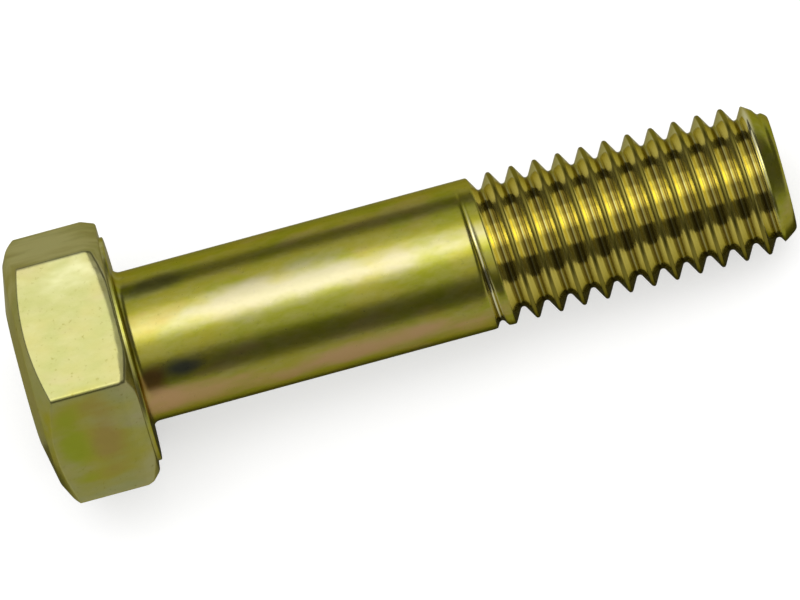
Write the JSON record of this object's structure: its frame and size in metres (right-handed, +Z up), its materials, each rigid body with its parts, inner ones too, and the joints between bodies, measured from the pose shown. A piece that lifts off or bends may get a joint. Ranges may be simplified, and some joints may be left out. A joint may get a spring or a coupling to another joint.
{
  "type": "hex head bolt",
  "caption": "Hex head bolt with a thin washer face, a plain shank and a coarse right-hand thread up to a chamfered tip, yellow zinc plated.",
  "frame": {"origin": "middle of the bounding box's base, on the surface that the bolt lies on", "axes": "+X along the bolt towards its tip, +Z up, +Y across it"},
  "size_m": [0.0412, 0.0148, 0.0132],
  "materials": {
    "yellow_zinc": "yellow chromate over zinc plating, satin, with a faint green and pink tint"
  },
  "bodies": {
    "root": {"hex_bolt": "yellow_zinc"}
  },
  "joints": []
}
